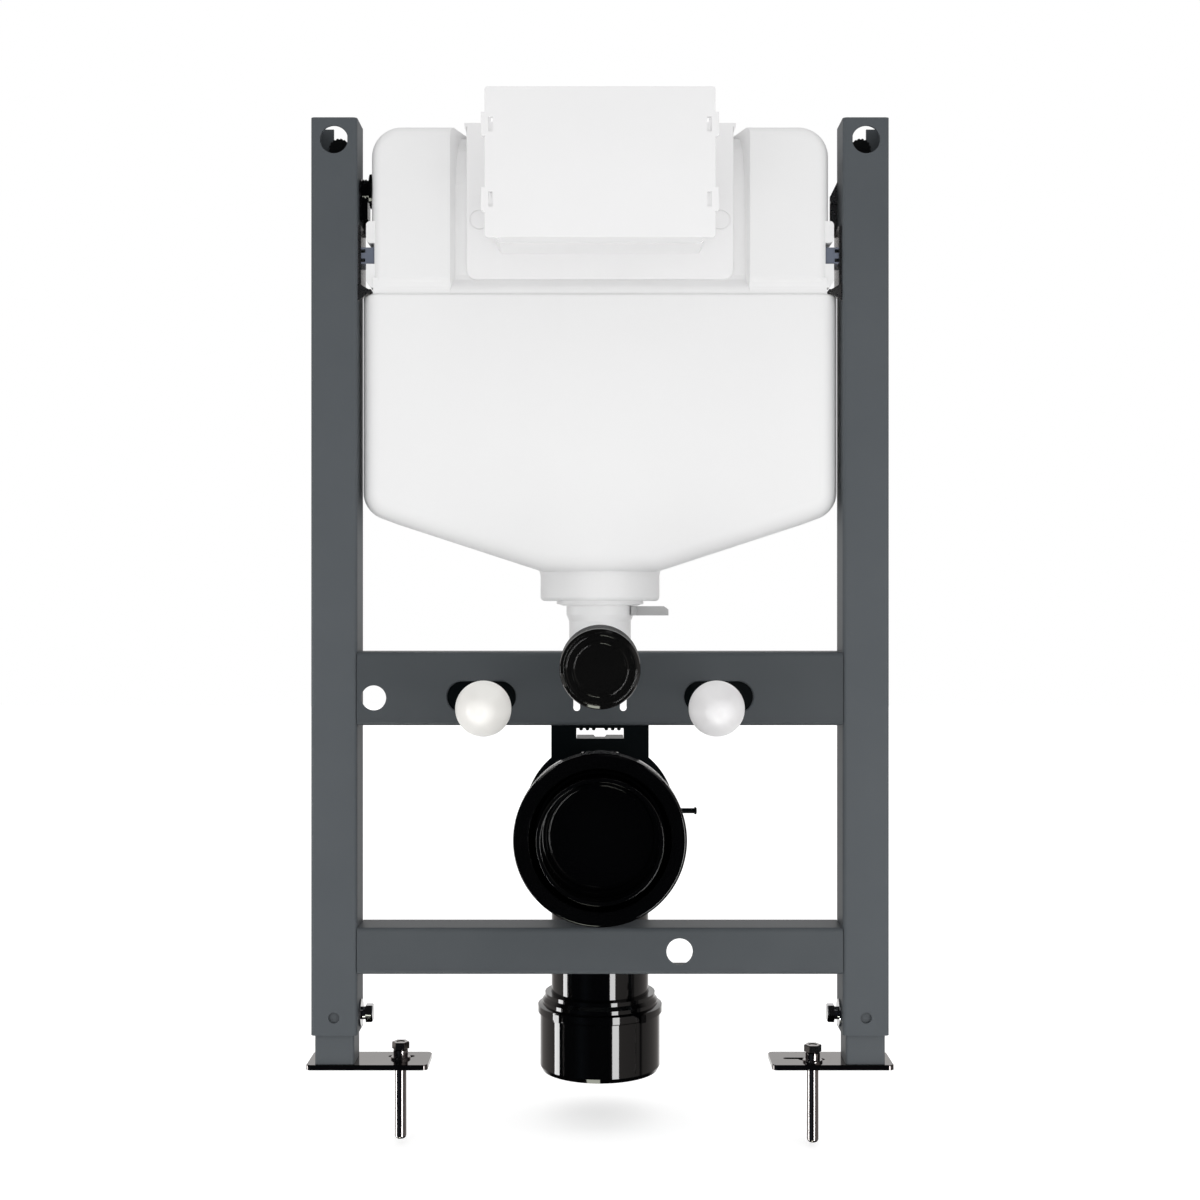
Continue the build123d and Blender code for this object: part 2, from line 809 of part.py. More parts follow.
# Chamber front in the recess, with its lintel, round marks and arrows
with BuildPart() as access_plate:
    chamber_back = tank_front + recess_depth
    with BuildSketch(at_depth(chamber_back)):
        with Locations((mid_x, (chamber_bottom + chamber_top) / 2)):
            chamber_face = Rectangle(2 * chamber_half, chamber_height)
        fillet(chamber_face.vertices().group_by(Axis.Y)[0], chamber_corner)
    extrude(amount=chamber_back - chamber_front)
    fillet(access_plate.faces().sort_by(Axis.Y)[0].outer_wire().edges(), chamber_edge)
    # lintel along the upper edge, with a tooth at either end
    with BuildSketch(at_depth(chamber_front)):
        with Locations((mid_x, chamber_top - lintel_height / 2)):
            Rectangle(2 * (chamber_half + lintel_side), lintel_height)
        for side in (-1, 1):
            with BuildLine():
                Polyline(
                    (mid_x + side * (chamber_half + lintel_side), chamber_top - lintel_height),
                    (mid_x + side * chamber_half, chamber_top - lintel_height),
                    (mid_x + side * chamber_half, chamber_top - lintel_height - lintel_tooth),
                    close=True,
                )
            make_face()
    extrude(amount=-lintel_tooth)
    # round marks and downward arrows at either side of the box
    mark_z = groove_z + mark_rise
    marks = ((mid_x - mark_x, mark_z), (mid_x + mark_x, mark_z))
    with BuildSketch(at_depth(chamber_front)):
        with Locations(*marks):
            Circle(mark_r)
            Circle(mark_r - mark_groove, mode=Mode.SUBTRACT)
    extrude(amount=-mark_deep, mode=Mode.SUBTRACT)
    arrow_z = groove_z + arrow_rise
    with BuildSketch(at_depth(chamber_front)):
        with Locations((mid_x - mark_x, arrow_z), (mid_x + mark_x, arrow_z)):
            with Locations((0, arrow_length / 2 + arrow_head / 2)):
                Rectangle(arrow_width, arrow_length - arrow_head)
            with Locations((0, arrow_head / 2)):
                Triangle(a=2 * arrow_head, B=45, C=45, rotation=180)
    extrude(amount=arrow_high)
keep(access_plate, "access_plate")


# Box that stands out from the chamber front: two sleeves, the front one set in by a small step
with BuildPart() as access_box:
    box_top = chamber_top - lintel_height
    box_z = (box_bottom + box_top) / 2
    with BuildSketch(at_depth(chamber_front)):
        with Locations((mid_x, box_z)):
            back_sleeve = Rectangle(2 * box_half, box_top - box_bottom)
        chamfer(back_sleeve.vertices(), box_edge)
    extrude(amount=chamber_front - box_step_depth)
    with BuildSketch(at_depth(box_step_depth)):
        with Locations((mid_x, box_z)):
            front_sleeve = Rectangle(2 * (box_half - box_step), box_top - box_bottom - 2 * box_step)
        chamfer(front_sleeve.vertices(), box_edge)
    extrude(amount=access_reach + box_step_depth - cover_thick)
keep(access_box, "access_box")

# Protective cover with snap tabs at its sides and a catch window beside each
with BuildPart() as access_cover:
    tab_rows = (groove_z + tab_rise_low, groove_z + tab_rise_high)
    with BuildSketch(at_depth(-access_reach + cover_thick)):
        with Locations((mid_x, (cover_bottom + cover_top) / 2)):
            RectangleRounded(2 * cover_half, cover_height, cover_corner)
        for row in tab_rows:
            with Locations((mid_x, row)):
                tabs = Rectangle(2 * (cover_half + tab_out), tab_height)
            chamfer(tabs.vertices().group_by(Axis.Y)[0], tab_edge)
    extrude(amount=cover_thick)
    # shallow catch windows, each with a deeper hole at its upper outer end
    catch_x = cover_half - catch_inset
    with BuildSketch(at_depth(-access_reach)):
        for row in tab_rows:
            with Locations((mid_x - catch_x, row), (mid_x + catch_x, row)):
                Rectangle(catch_width, catch_height)
    extrude(amount=-catch_deep, mode=Mode.SUBTRACT)
    with BuildSketch(at_depth(-access_reach)):
        for row in tab_rows:
            for side in (-1, 1):
                with Locations((mid_x + side * (catch_x - catch_width / 4), row + catch_height / 3)):
                    Rectangle(catch_width / 2, catch_hole_height)
    extrude(amount=-cover_thick, mode=Mode.SUBTRACT)
    fillet(access_cover.faces().sort_by(Axis.Y)[0].outer_wire().edges(), cover_edge)
keep(access_cover, "access_cover")


# Brackets of the cistern on the inner sides of the posts: plate, shelf in the tank's groove,
# gusset under the shelf and an upper web beside the tank
bracket_bottom = groove_z - shelf_thick / 2
bracket_mid_y = depth((bracket_front + bracket_back) / 2)
bracket_depth = bracket_back - bracket_front
with BuildPart() as left_tank_bracket:
    with BuildSketch(Plane.XY.offset(bracket_bottom)):
        with Locations((half_post + bracket_plate / 2, bracket_mid_y)):
            Rectangle(bracket_plate, bracket_depth)
    extrude(amount=bracket_height)
    with BuildSketch(Plane.XY.offset(bracket_bottom)):
        with Locations((half_post + shelf_reach / 2, bracket_mid_y)):
            Rectangle(shelf_reach, bracket_depth)
    extrude(amount=shelf_thick)
    # the front edges of plate and shelf meet in a small triangular gusset
    with BuildSketch(at_depth(bracket_front)):
        with BuildLine():
            Polyline(
                (half_post, bracket_bottom + gusset_rise),
                (half_post + shelf_reach, bracket_bottom + shelf_thick / 2),
                (half_post + shelf_reach, bracket_bottom),
                (half_post, bracket_bottom - gusset_drop),
                close=True,
            )
        make_face()
    extrude(amount=bracket_plate)
    # upper web, level with the top of the bracket
    web_bottom = bracket_bottom + bracket_height
    with BuildSketch(at_depth(upper_web_front + bracket_plate)):
        with BuildLine():
            Polyline(
                (half_post, web_bottom - upper_web_lap),
                (half_post + upper_web_reach, web_bottom - upper_web_lap),
                (half_post + upper_web_reach, web_bottom + upper_web_height - upper_web_slope),
                (half_post, web_bottom + upper_web_height),
                close=True,
            )
        make_face()
    extrude(amount=bracket_plate)
    with BuildSketch(Plane.XY.offset(web_bottom + upper_shelf_rise)):
        with Locations((half_post + upper_web_reach / 2, depth(upper_web_front - upper_shelf_depth / 2))):
            Rectangle(upper_web_reach, upper_shelf_depth)
    extrude(amount=bracket_plate)
keep(left_tank_bracket, "left_tank_bracket")
mirrored(left_tank_bracket, "right_tank_bracket")

# Plastic clips that hold the tank's pockets to the brackets
clip_z = (upper_belt_bottom + lower_belt_top) / 2 - clip_lower
clip_height = upper_belt_bottom - lower_belt_top - 2 * clip_fit - 2 * clip_lower
clip_start = half_post + bracket_plate
clip_end = mid_x - notch_half - clip_fit
with BuildPart() as left_tank_clip:
    with BuildSketch(at_depth(clip_front)):
        with Locations(((clip_start + clip_end) / 2, clip_z)):
            clip_face = Rectangle(clip_end - clip_start, clip_height)
        chamfer(clip_face.vertices().group_by(Axis.X)[-1], clip_fit)
        for step in (-clip_slot_step, clip_slot_step):
            with Locations((clip_start + clip_slot_length / 2, clip_z + step)):
                Rectangle(clip_slot_length, clip_slot, mode=Mode.SUBTRACT)
    extrude(amount=clip_front - clip_back)
keep(left_tank_clip, "left_tank_clip")
mirrored(left_tank_clip, "right_tank_clip")


# Water inlet: ringed stub from the left post to its flange on the tank, on a small block
inlet_z = groove_z + inlet_rise
inlet_start = half_post + inlet_gap
inlet_end = mid_x - upper_half
with BuildPart() as inlet_valve:
    with BuildSketch(Plane.YZ.offset(inlet_start)):
        with Locations((depth(inlet_depth), inlet_z)):
            Circle(inlet_r)
    extrude(amount=inlet_end - inlet_start)
    ring_total = int((inlet_end - inlet_start - inlet_flange_thick) / inlet_ring_pitch)
    for ring in range(ring_total):
        with BuildSketch(Plane.YZ.offset(inlet_start + ring * inlet_ring_pitch)):
            with Locations((depth(inlet_depth), inlet_z)):
                Circle(inlet_ring_r)
        extrude(amount=inlet_ring_pitch / 2)
    with BuildSketch(Plane.YZ.offset(inlet_end - inlet_flange_thick)):
        with Locations((depth(inlet_depth), inlet_z)):
            Circle(inlet_flange_r)
    extrude(amount=inlet_flange_thick)
    with BuildSketch(Plane.YZ.offset(inlet_start)):
        with Locations((depth(inlet_depth), inlet_z - inlet_block_drop / 2)):
            Rectangle(inlet_block_depth, inlet_block_drop)
    extrude(amount=inlet_block_reach)
keep(inlet_valve, "inlet_valve")


# Flush outlet: collar under the neck with its conical foot
outlet_centre = (mid_x, depth(neck_depth))
with BuildPart() as flush_collar:
    with BuildSketch(Plane.XY.offset(neck_bottom)):
        with Locations(outlet_centre):
            Circle(collar_r)
    extrude(amount=-collar_thick)
    with BuildSketch(Plane.XY.offset(neck_bottom - collar_thick)):
        with Locations(outlet_centre):
            Circle(collar_foot_r)
    with BuildSketch(Plane.XY.offset(neck_bottom - collar_thick - collar_foot_height)):
        with Locations(outlet_centre):
            Circle(collar_foot_end_r)
    loft()
    with BuildSketch(Plane.XY.offset(neck_bottom)):
        with Locations(outlet_centre):
            Circle(flush_top_r + flush_fit)
    extrude(amount=-(collar_thick + collar_foot_height), mode=Mode.SUBTRACT)
keep(flush_collar, "flush_collar")

# Clip around the pipe, its lever pointing to the right
with BuildPart() as flush_clip:
    clip_top = neck_bottom - collar_thick - collar_foot_height - flush_clip_gap
    with BuildSketch(Plane.XY.offset(clip_top)):
        with Locations(outlet_centre):
            Circle(collar_foot_end_r)
        lever_end = Polygon(
            (mid_x + flush_r, outlet_centre[1] - flush_clip_depth / 2),
            (mid_x + flush_clip_reach, outlet_centre[1] - flush_clip_depth / 2),
            (mid_x + flush_clip_reach, outlet_centre[1] + flush_clip_depth / 2),
            (mid_x + flush_r, outlet_centre[1] + flush_clip_depth / 2),
            align=None,
        )
        with Locations(outlet_centre):
            Circle(flush_top_r + flush_fit, mode=Mode.SUBTRACT)
        # open towards the front and the left, where the clip is pushed on
        Polygon(
            (mid_x - collar_r, outlet_centre[1] - collar_r),
            (mid_x + flush_r, outlet_centre[1] - collar_r),
            (mid_x + flush_r, outlet_centre[1]),
            (mid_x - flush_r, outlet_centre[1]),
            (mid_x - flush_r, outlet_centre[1] + collar_r),
            (mid_x - collar_r, outlet_centre[1] + collar_r),
            align=None,
            mode=Mode.SUBTRACT,
        )
    extrude(amount=-flush_clip_height)
    chamfer(
        flush_clip.faces().sort_by(Axis.X)[-1].edges().sort_by(Axis.Z)[-1],
        length=flush_clip_height / 3,
        length2=flush_clip_height / 2,
    )
keep(flush_clip, "flush_clip")

# White bend, narrowing below the clip, through the crossbar to its capped end
with BuildPart() as flush_bend:
    taper_top = flush_z + flush_turn + flush_taper
    with BuildSketch(Plane.XY.offset(neck_bottom)):
        with Locations(outlet_centre):
            Circle(flush_top_r)
    extrude(amount=taper_top - neck_bottom)
    with BuildSketch(Plane.XY.offset(taper_top)):
        with Locations(outlet_centre):
            Circle(flush_top_r)
    with BuildSketch(Plane.XY.offset(flush_z + flush_turn)):
        with Locations(outlet_centre):
            Circle(flush_r)
    loft()
    with BuildSketch(Plane.XY.offset(flush_z + flush_turn)):
        with Locations(outlet_centre):
            Circle(flush_r)
    revolve(
        axis=Axis((mid_x, depth(neck_depth - flush_turn), flush_z + flush_turn), (1, 0, 0)),
        revolution_arc=-90,
    )
    with BuildSketch(at_depth(neck_depth - flush_turn)):
        with Locations((mid_x, flush_z)):
            Circle(flush_r)
    extrude(amount=neck_depth - flush_turn + flush_reach - flush_cap_face)
keep(flush_bend, "flush_bend")

# Cap of the flush bend: sleeve over the pipe, and a dished face with two raised rings
with BuildPart() as flush_cap:
    with BuildSketch(Plane.XY.offset(flush_z)):
        with BuildLine():
            cap_y = depth(-flush_reach)
            floor_y = cap_y + flush_cap_floor
            ring_y = floor_y - cap_ring_high
            sleeve_end = cap_y + flush_cap_length
            Polyline(
                (mid_x, floor_y),
                (mid_x + flush_cap_disc_r - cap_ring_width, floor_y),
                (mid_x + flush_cap_disc_r - cap_ring_width, ring_y),
                (mid_x + flush_cap_disc_r, ring_y),
                (mid_x + flush_cap_disc_r, floor_y),
                (mid_x + flush_cap_ring_r - cap_ring_width, floor_y),
                (mid_x + flush_cap_ring_r - cap_ring_width, ring_y),
                (mid_x + flush_cap_ring_r, ring_y),
                (mid_x + flush_cap_ring_r, cap_y + flush_cap_edge),
                (mid_x + flush_cap_r - flush_cap_edge, cap_y),
                (mid_x + flush_cap_r, cap_y + flush_cap_edge),
                (mid_x + flush_cap_r, sleeve_end),
                (mid_x + flush_r + cap_fit, sleeve_end),
                (mid_x + flush_r + cap_fit, cap_y + flush_cap_face),
                (mid_x, cap_y + flush_cap_face),
                close=True,
            )
        make_face()
    revolve(axis=Axis((mid_x, 0, flush_z), (0, 1, 0)))
keep(flush_cap, "flush_cap")


# Soil bend: spigot down into the adaptor, turn, and run forward through the bracket
with BuildPart() as soil_bend:
    with BuildSketch(Plane.XY.offset(spigot_end)):
        with Locations((mid_x, depth(soil_depth))):
            Circle(soil_r)
    extrude(amount=soil_z - soil_turn - spigot_end)
    with BuildSketch(Plane.XY.offset(soil_z - soil_turn)):
        with Locations((mid_x, depth(soil_depth))):
            Circle(soil_r)
    revolve(
        axis=Axis((mid_x, depth(soil_depth - soil_turn), soil_z - soil_turn), (1, 0, 0)),
        revolution_arc=90,
    )
    with BuildSketch(at_depth(soil_depth - soil_turn)):
        with Locations((mid_x, soil_z)):
            Circle(soil_r)
    extrude(amount=soil_depth - soil_turn - bend_socket_depth)
    with BuildSketch(at_depth(bend_socket_depth)):
        with Locations((mid_x, soil_z)):
            Circle(bend_socket_r)
    extrude(amount=bend_socket_depth + connector_back)
keep(soil_bend, "soil_bend")

# Pan socket in front of the bend, with rings around it
with BuildPart() as soil_socket:
    with BuildSketch(at_depth(-connector_back)):
        with Locations((mid_x, soil_z)):
            Circle(connector_r - ridge_high)
    extrude(amount=connector_front - connector_back)
    for ridge in range(ridge_count):
        with BuildSketch(at_depth(-connector_front + ridge * ridge_pitch)):
            with Locations((mid_x, soil_z)):
                Circle(connector_r)
        extrude(amount=-ridge_width)
    with BuildSketch(at_depth(-connector_front)):
        with Locations((mid_x, soil_z)):
            Circle(connector_inner_r)
    extrude(amount=-(connector_front - connector_back - connector_floor), mode=Mode.SUBTRACT)
    chamfer(
        soil_socket.faces().sort_by(Axis.Y)[0].edges().filter_by(GeomType.CIRCLE).sort_by(SortBy.RADIUS)[-1],
        connector_edge,
    )
keep(soil_socket, "soil_socket")

# Cap in the socket: sloping outer band, raised ring, inner ring and flat disc
with BuildPart() as soil_cap:
    with BuildSketch(Plane.XY.offset(soil_z)):
        with BuildLine():
            mouth_y = depth(-connector_front)
            band_y = mouth_y + soil_cap_front
            dish_y = mouth_y + soil_cap_floor
            seat_y = depth(-connector_back) - soil_cap_back
            Polyline(
                (mid_x, dish_y),
                (mid_x + soil_cap_disc_r - cap_ring_width, dish_y),
                (mid_x + soil_cap_disc_r - cap_ring_width, dish_y - cap_ring_high),
                (mid_x + soil_cap_disc_r, dish_y - cap_ring_high),
                (mid_x + soil_cap_disc_r, dish_y),
                (mid_x + soil_cap_ring_r - cap_ring_width, dish_y),
                (mid_x + soil_cap_ring_r - cap_ring_width, band_y - cap_ring_high),
                (mid_x + soil_cap_ring_r, band_y - cap_ring_high),
                (mid_x + soil_cap_ring_r, band_y + soil_cap_slope),
                (mid_x + connector_inner_r - cap_fit, band_y),
                (mid_x + connector_inner_r - cap_fit, seat_y),
                (mid_x, seat_y),
                close=True,
            )
        make_face()
    revolve(axis=Axis((mid_x, 0, soil_z), (0, 1, 0)))
keep(soil_cap, "soil_cap")

# Adaptor from the spigot to the larger drain pipe, with two catches on its collar
with BuildPart() as soil_adaptor:
    with BuildSketch(mirror_plane):
        with BuildLine():
            pipe_y = depth(soil_depth)
            bore_r = adaptor_r - adaptor_wall
            Polyline(
                (pipe_y - soil_r - cap_fit, adaptor_top),
                (pipe_y - adaptor_lip_r, adaptor_top),
                (pipe_y - adaptor_lip_r, adaptor_top - lip_drop),
                (pipe_y - adaptor_shoulder_r, adaptor_top - 2 * lip_drop),
                (pipe_y - adaptor_shoulder_r, adaptor_top - 3 * lip_drop),
                (pipe_y - adaptor_bead_r, adaptor_top - 3 * lip_drop - bead_edge),
                (pipe_y - adaptor_bead_r, bead_bottom + bead_edge),
                (pipe_y - adaptor_r, bead_bottom),
                (pipe_y - adaptor_r, adaptor_bottom + adaptor_chamfer),
                (pipe_y - adaptor_r + adaptor_chamfer / 2, adaptor_bottom),
                (pipe_y - bore_r, adaptor_bottom),
                (pipe_y - bore_r, spigot_end - adaptor_step),
                (pipe_y - soil_r + adaptor_stop, spigot_end),
                (pipe_y - soil_r - cap_fit, spigot_end),
                close=True,
            )
        make_face()
    revolve(axis=Axis((mid_x, pipe_y, 0), (0, 0, 1)))
    # catches stand on the collar, turned to either side of its front
    lug_z = bead_bottom + catch_lug_height / 2
    for turn in (-catch_lug_turn, catch_lug_turn):
        outward = Vector(0, -1, 0).rotate(Axis.Z, turn)
        lug_plane = Plane(
            origin=Vector(mid_x, pipe_y, lug_z) + outward * (adaptor_r - adaptor_wall / 2),
            x_dir=outward.cross(Vector(0, 0, -1)),
            z_dir=outward,
        )
        with BuildSketch(lug_plane):
            Rectangle(catch_lug_width, catch_lug_height)
        extrude(amount=adaptor_wall / 2 + adaptor_bead_r - adaptor_r + catch_lug_high)
keep(soil_adaptor, "soil_adaptor")


# Bracket that carries the pan bend: plate with a ring around the bend, a toothed window with a
# folded lip below it, and a lug for the clamp pin
bracket_top = upper_bar_bottom
with BuildPart() as soil_bracket:
    window_top = bracket_top - window_top_gap
    window_bottom = window_top - window_height
    with BuildSketch(at_depth(bend_bracket_depth)):
        with Locations((mid_x, (bracket_top + soil_z) / 2)):
            Rectangle(2 * bend_bracket_half, bracket_top - soil_z)
        with Locations((mid_x, soil_z)):
            Circle(bend_bracket_r)
            Circle(bend_socket_r + bend_bracket_fit, mode=Mode.SUBTRACT)
        with Locations((mid_x, (window_top + window_bottom) / 2)):
            Rectangle(2 * window_half, window_height, mode=Mode.SUBTRACT)
        # teeth along the upper edge of the window, three at either side of its open middle
        tooth_rows = [side * place * tooth_pitch for side in (-1, 1) for place in (1, 2, 3)]
        for row in tooth_rows:
            with Locations((mid_x + row, window_top)):
                Polygon(
                    (-tooth_width / 2, 0),
                    (-tooth_tip / 2, -tooth_height),
                    (tooth_tip / 2, -tooth_height),
                    (tooth_width / 2, 0),
                    align=None,
                )
    extrude(amount=-bend_bracket_thick)
    # lip folded back from the lower edge of the window, with a notch in its rear edge
    with BuildSketch(Plane.XY.offset(window_bottom - lip_thick)):
        with BuildLine():
            lip_back = depth(bend_bracket_depth + lip_depth)
            notch_end = lip_back - lip_notch_depth
            Polyline(
                (mid_x - window_half, depth(bend_bracket_depth)),
                (mid_x + window_half, depth(bend_bracket_depth)),
                (mid_x + window_half, lip_back),
                (mid_x + lip_notch_half + lip_notch_slope, lip_back),
                (mid_x + lip_notch_half, notch_end),
                (mid_x - lip_notch_half, notch_end),
                (mid_x - lip_notch_half - lip_notch_slope, lip_back),
                (mid_x - window_half, lip_back),
                close=True,
            )
        make_face()
    extrude(amount=lip_thick)
    # lug behind the ring, bored for the pin
    pin_z = soil_z + clamp_pin_rise
    lug_start = bend_bracket_depth + bend_bracket_thick
    lug_x = mid_x + bend_bracket_r - clamp_lug_width
    with BuildSketch(at_depth(lug_start)):
        with Locations((lug_x + clamp_lug_width / 2, pin_z)):
            Rectangle(clamp_lug_width, clamp_lug_height)
    extrude(amount=-clamp_lug_depth)
    pin_y = depth(lug_start + clamp_lug_depth / 2)
    with BuildSketch(Plane.YZ.offset(lug_x)):
        with Locations((pin_y, pin_z)):
            Circle(clamp_pin_r + clamp_pin_fit)
    extrude(amount=clamp_lug_width, mode=Mode.SUBTRACT)
keep(soil_bracket, "soil_bracket")

# Pin through the lug at the right of the bracket, with a small round head
with BuildPart() as soil_clamp_pin:
    with BuildSketch(Plane.YZ.offset(lug_x)):
        with Locations((pin_y, pin_z)):
            Circle(clamp_pin_r)
    extrude(amount=mid_x + clamp_pin_reach - clamp_pin_head - lug_x)
    with BuildSketch(Plane.YZ.offset(mid_x + clamp_pin_reach - clamp_pin_head)):
        with Locations((pin_y, pin_z)):
            Circle(clamp_pin_head_r)
    extrude(amount=clamp_pin_head)
    chamfer(soil_clamp_pin.faces().sort_by(Axis.X)[-1].edges(), clamp_pin_edge)
keep(soil_clamp_pin, "soil_clamp_pin")

os.makedirs("parts", exist_ok=True)
for piece in parts:
    export_step(piece, f"parts/{piece.label}.step")
    print(piece.label, len(piece.solids()), round(piece.volume))
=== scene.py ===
import math

import bpy
import numpy as np
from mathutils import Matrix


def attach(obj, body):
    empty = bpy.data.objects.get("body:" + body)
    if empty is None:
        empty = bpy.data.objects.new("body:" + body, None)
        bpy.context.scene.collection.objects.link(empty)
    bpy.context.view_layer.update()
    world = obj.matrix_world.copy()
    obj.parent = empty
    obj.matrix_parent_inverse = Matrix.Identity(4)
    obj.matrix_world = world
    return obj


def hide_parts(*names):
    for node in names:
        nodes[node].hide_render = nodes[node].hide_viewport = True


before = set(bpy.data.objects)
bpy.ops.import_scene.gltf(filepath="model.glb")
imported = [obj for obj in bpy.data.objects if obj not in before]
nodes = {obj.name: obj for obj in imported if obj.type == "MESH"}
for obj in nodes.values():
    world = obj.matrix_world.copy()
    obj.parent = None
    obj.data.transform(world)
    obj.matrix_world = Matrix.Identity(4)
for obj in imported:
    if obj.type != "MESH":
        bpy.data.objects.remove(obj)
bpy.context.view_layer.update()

MID_X = 0.230           # centre line of the frame
FRONT_Y = -0.020        # front face of the posts
FLUSH_Z = 0.3532        # height of the flush cap's axis
SOIL_Z = 0.2202         # height of the pan socket's axis
FLOOR_Z = -0.0690       # just under the floor plugs
FLOOR_HALF = 6.0
FLOOR_GLOW = 0.45       # light of the floor that only the camera sees
SOFT_LIGHT = 0.885      # strength of the world on matt surfaces
CAMERA_BACK = 1.440     # distance of the camera in front of the posts
CAMERA_Z = 0.4065


# Materials

def new_material(name):
    """A material with its Principled shader and an Object coordinate source."""
    mat = bpy.data.materials.new(name)
    mat.use_nodes = True
    tree = mat.node_tree
    shader = tree.nodes["Principled BSDF"]
    coords = tree.nodes.new("ShaderNodeTexCoord")
    return mat, tree, shader, coords.outputs["Object"]


def noise(tree, vector, scale, detail, rough, stretch=None):
    """Noise on Object coordinates; stretch squeezes the pattern along an axis."""
    if stretch is not None:
        mapping = tree.nodes.new("ShaderNodeMapping")
        mapping.inputs["Scale"].default_value = stretch
        tree.links.new(vector, mapping.inputs["Vector"])
        vector = mapping.outputs["Vector"]
    tex = tree.nodes.new("ShaderNodeTexNoise")
    tex.inputs["Scale"].default_value = scale
    tex.inputs["Detail"].default_value = detail
    tex.inputs["Roughness"].default_value = rough
    tree.links.new(vector, tex.inputs["Vector"])
    return tex.outputs["Fac"]


def ramp(tree, fac, stops):
    """Colour ramp from (position, colour) stops."""
    node = tree.nodes.new("ShaderNodeValToRGB")
    elements = node.color_ramp.elements
    while len(elements) < len(stops):
        elements.new(0.5)
    for element, (pos, colour) in zip(elements, stops):
        element.position = pos
        element.color = (*colour, 1.0)
    tree.links.new(fac, node.inputs["Fac"])
    return node.outputs["Color"]


def remap(tree, value, start, end, low=0.0, high=1.0):
    """A value from start to end becomes low to high, and stays there outside."""
    node = tree.nodes.new("ShaderNodeMapRange")
    node.inputs["From Min"].default_value = start
    node.inputs["From Max"].default_value = end
    node.inputs["To Min"].default_value = low
    node.inputs["To Max"].default_value = high
    tree.links.new(value, node.inputs["Value"])
    return node.outputs["Result"]


def product(tree, first, second):
    """The product of a socket and either another socket or a number."""
    node = tree.nodes.new("ShaderNodeMath")
    node.operation = "MULTIPLY"
    tree.links.new(first, node.inputs[0])
    if isinstance(second, float):
        node.inputs[1].default_value = second
    else:
        tree.links.new(second, node.inputs[1])
    return node.outputs["Value"]


def bump(tree, shader, height, strength, distance):
    """Relief from a height value, on the shader's normal."""
    node = tree.nodes.new("ShaderNodeBump")
    node.inputs["Strength"].default_value = strength
    node.inputs["Distance"].default_value = distance
    tree.links.new(height, node.inputs["Height"])
    tree.links.new(node.outputs["Normal"], shader.inputs["Normal"])


def finish(name, dark, light, rough, metallic=0.0, grain=600.0, grain_depth=0.00004,
           tone=9.0, specular=0.5, stretch=None):
    """A finish: colour drifts slowly between dark and light, roughness varies, fine grain as bump."""
    mat, tree, shader, vector = new_material(name)
    drift = noise(tree, vector, tone, 4.0, 0.55)
    tree.links.new(ramp(tree, drift, [(0.3, dark), (0.7, light)]), shader.inputs["Base Color"])
    fine = noise(tree, vector, grain, 2.0, 0.6, stretch)
    tree.links.new(remap(tree, fine, 0.0, 1.0, rough[0], rough[1]), shader.inputs["Roughness"])
    bump(tree, shader, fine, 0.25, grain_depth)
    shader.inputs["Metallic"].default_value = metallic
    shader.inputs["Specular IOR Level"].default_value = specular
    return mat


post_paint = finish("post_powder_coat", (0.086, 0.096, 0.105), (0.095, 0.105, 0.114),
                    (0.44, 0.54), grain=900.0, specular=0.12)
# Painted shade: the crossbars wear the posts' powder coat. These copies are painted darker, the upper bar
# most, to stand for the shade on them.
bar_paint_painted_shade = finish("painted_shade_bar_coat", (0.062, 0.070, 0.077), (0.070, 0.078, 0.085),
                     (0.42, 0.52), grain=900.0, specular=0.22)
low_bar_paint_painted_shade = finish("painted_shade_low_bar_coat", (0.074, 0.083, 0.091), (0.083, 0.092, 0.100),
                       (0.42, 0.52), grain=900.0, specular=0.22)
leg_paint = finish("leg_powder_coat", (0.086, 0.096, 0.105), (0.095, 0.105, 0.114),
                   (0.42, 0.52), grain=900.0, specular=0.2)
tank_plastic = finish("blow_moulded_white", (0.852, 0.850, 0.852), (0.867, 0.867, 0.867),
                      (0.42, 0.55), grain=500.0, grain_depth=0.00003, tone=5.0, specular=0.35)
cover_plastic = finish("cover_white", (0.885, 0.882, 0.884), (0.90, 0.897, 0.90),
                       (0.4, 0.52), grain=700.0, specular=0.35)
# Painted light: a paler copy of the white plastic, lightened so that the flush bend and collar, which lie
# in the tank's shade, still render near white.
pipe_plastic_painted_light = finish("pipe_white_painted_light", (0.955, 0.955, 0.955), (0.965, 0.965, 0.965),
                      (0.32, 0.42), specular=0.4)
grey_clip = finish("clip_grey", (0.56, 0.56, 0.56), (0.62, 0.62, 0.62), (0.35, 0.5))
gloss_black = finish("gloss_black_moulding", (0.0004, 0.0004, 0.0005), (0.0010, 0.0010, 0.0011),
                     (0.035, 0.06), grain=400.0, grain_depth=0.000005)
cap_black = finish("flush_cap_black", (0.0026, 0.0026, 0.0026), (0.0040, 0.0039, 0.0037),
                   (0.035, 0.06), grain=400.0, grain_depth=0.000005)
sleeve_black = finish("cap_sleeve_black", (0.0015, 0.0015, 0.0015), (0.0025, 0.0025, 0.0025),
                      (0.4, 0.5), grain=500.0, specular=0.03)
zinc_plate = finish("bright_zinc", (0.12, 0.112, 0.110), (0.15, 0.14, 0.137),
                    (0.07, 0.13), metallic=1.0, grain_depth=0.00001, stretch=(0.15, 1.0, 1.0))
bracket_zinc = finish("bracket_zinc", (0.34, 0.325, 0.32), (0.42, 0.405, 0.40),
                      (0.22, 0.34), metallic=1.0, grain_depth=0.00001)
anchor_zinc = finish("anchor_zinc", (0.23, 0.215, 0.21), (0.30, 0.285, 0.28),
                     (0.12, 0.2), metallic=1.0, grain=900.0, grain_depth=0.000006)
chrome_steel = finish("polished_fastener", (0.34, 0.34, 0.35), (0.44, 0.44, 0.45),
                      (0.05, 0.1), metallic=1.0, grain=900.0, grain_depth=0.000006)
